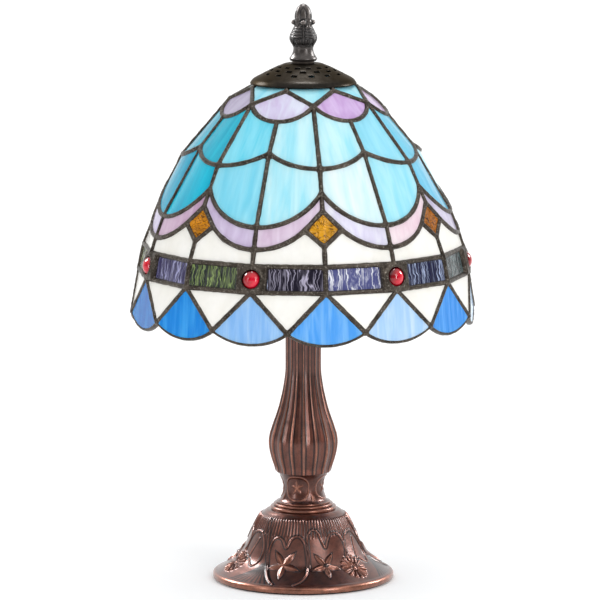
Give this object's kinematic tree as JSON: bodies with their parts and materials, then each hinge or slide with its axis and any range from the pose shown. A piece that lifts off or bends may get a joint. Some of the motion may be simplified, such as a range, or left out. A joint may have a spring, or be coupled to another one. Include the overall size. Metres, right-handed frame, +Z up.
{
  "type": "stained-glass table lamp",
  "caption": "Table lamp with a domed stained-glass shade of soldered panes and jewels, pierced cap, finial, harp, bulb and cast baluster base.",
  "frame": {"origin": "on the ground under the lamp's axis", "axes": "+Z up along the lamp's axis, -Y towards the front, +X to the right seen from the front"},
  "size_m": [0.1984, 0.1994, 0.3326],
  "materials": {
    "turquoise_glass": "streaky opalescent",
    "lilac_glass": "streaky opalescent",
    "blue_glass": "streaky opalescent",
    "pink_glass": "streaky opalescent",
    "amber_glass": "hammered, translucent",
    "white_glass": "opal",
    "dark_glass": "rippled, streaked green, violet and blue",
    "red_glass": "clear domed jewel",
    "fan_blue_glass": "streaky opalescent",
    "fan_pale_glass": "streaky opalescent",
    "solder": "hand-soldered, dark patina",
    "cap_bronze": "dark bronze patina, semi-gloss",
    "base_bronze": "reddish-brown bronze finish over cast zinc, ridges rubbed to copper",
    "brass": "turned brass",
    "zinc_steel": "zinc-plated",
    "black_plastic": "moulded phenolic",
    "ceramic": "glazed ceramic",
    "clear_glass": "clear blown glass",
    "filament": "phosphor-coated",
    "felt": "pressed felt",
    "rubber": "moulded"
  },
  "bodies": {
    "base": {"felt_pad": "felt", "foot": "base_bronze", "column": "base_bronze", "cord_bush": "rubber", "lamp_pipe": "zinc_steel", "under_washer": "zinc_steel", "lock_washer": "zinc_steel", "hex_nut": "zinc_steel", "harp_saddle": "brass", "harp": "brass", "holder_cap": "black_plastic", "holder_body": "black_plastic", "holder_core": "ceramic", "screw_shell": "brass", "centre_contact": "brass", "terminal_screws": "brass"},
    "stud": {"swivel_stud": "zinc_steel"},
    "shade": {"glass_top_v": "turquoise_glass", "glass_lens": "lilac_glass", "glass_upper_blue": "blue_glass", "glass_lower_blue": "blue_glass", "glass_scallop": "pink_glass", "glass_diamond": "amber_glass", "glass_white": "white_glass", "glass_band": "dark_glass", "glass_skirt_triangle": "white_glass", "glass_fan_blue": "fan_blue_glass", "glass_fan_pale": "fan_pale_glass", "glass_jewel": "red_glass", "solder_lattice": "solder", "jewel_bezel": "solder", "skirt_beads": "solder", "shade_spider": "brass"},
    "cap": {"heat_cap": "cap_bronze"},
    "washer": {"finial_washer": "cap_bronze"},
    "finial": {"finial": "cap_bronze"},
    "bulb_contact": {"bulb_tip": "zinc_steel", "bulb_insulator": "black_plastic"},
    "bulb": {"bulb_cap": "zinc_steel", "bulb_glass": "clear_glass", "bulb_stem": "clear_glass", "bulb_filaments": "filament"}
  },
  "joints": [
    {"name": "shade_turn", "type": "hinge", "parent": "base", "child": "stud", "pos_m": [0, 0, 0.283], "axis": [0, 0, 1], "continuous": true},
    {"name": "shade_lift", "type": "slide", "parent": "stud", "child": "shade", "axis": [0, 0, 1], "range_m": [0, 0.14]},
    {"name": "cap_lift", "type": "slide", "parent": "shade", "child": "cap", "axis": [0, 0, 1], "range_m": [0, 0.04]},
    {"name": "finial_rise", "type": "slide", "parent": "cap", "child": "washer", "axis": [0, 0, 1], "range_m": [0, 0.0085]},
    {"name": "finial_spin", "type": "hinge", "parent": "washer", "child": "finial", "pos_m": [0, 0, 0.3], "axis": [0, 0, 1], "range_deg": [0, 2880]},
    {"name": "bulb_rise", "type": "slide", "parent": "base", "child": "bulb_contact", "axis": [0, 0, 1], "range_m": [0, 0.0145]},
    {"name": "bulb_spin", "type": "hinge", "parent": "bulb_contact", "child": "bulb", "pos_m": [0, 0, 0.18], "axis": [0, 0, 1], "range_deg": [0, 1800]}
  ],
  "couplings": [
    {"joint": "finial_rise", "follows": "finial_spin", "m_per_rad": 0.00015915},
    {"joint": "bulb_rise", "follows": "bulb_spin", "m_per_rad": 0.00044882}
  ]
}
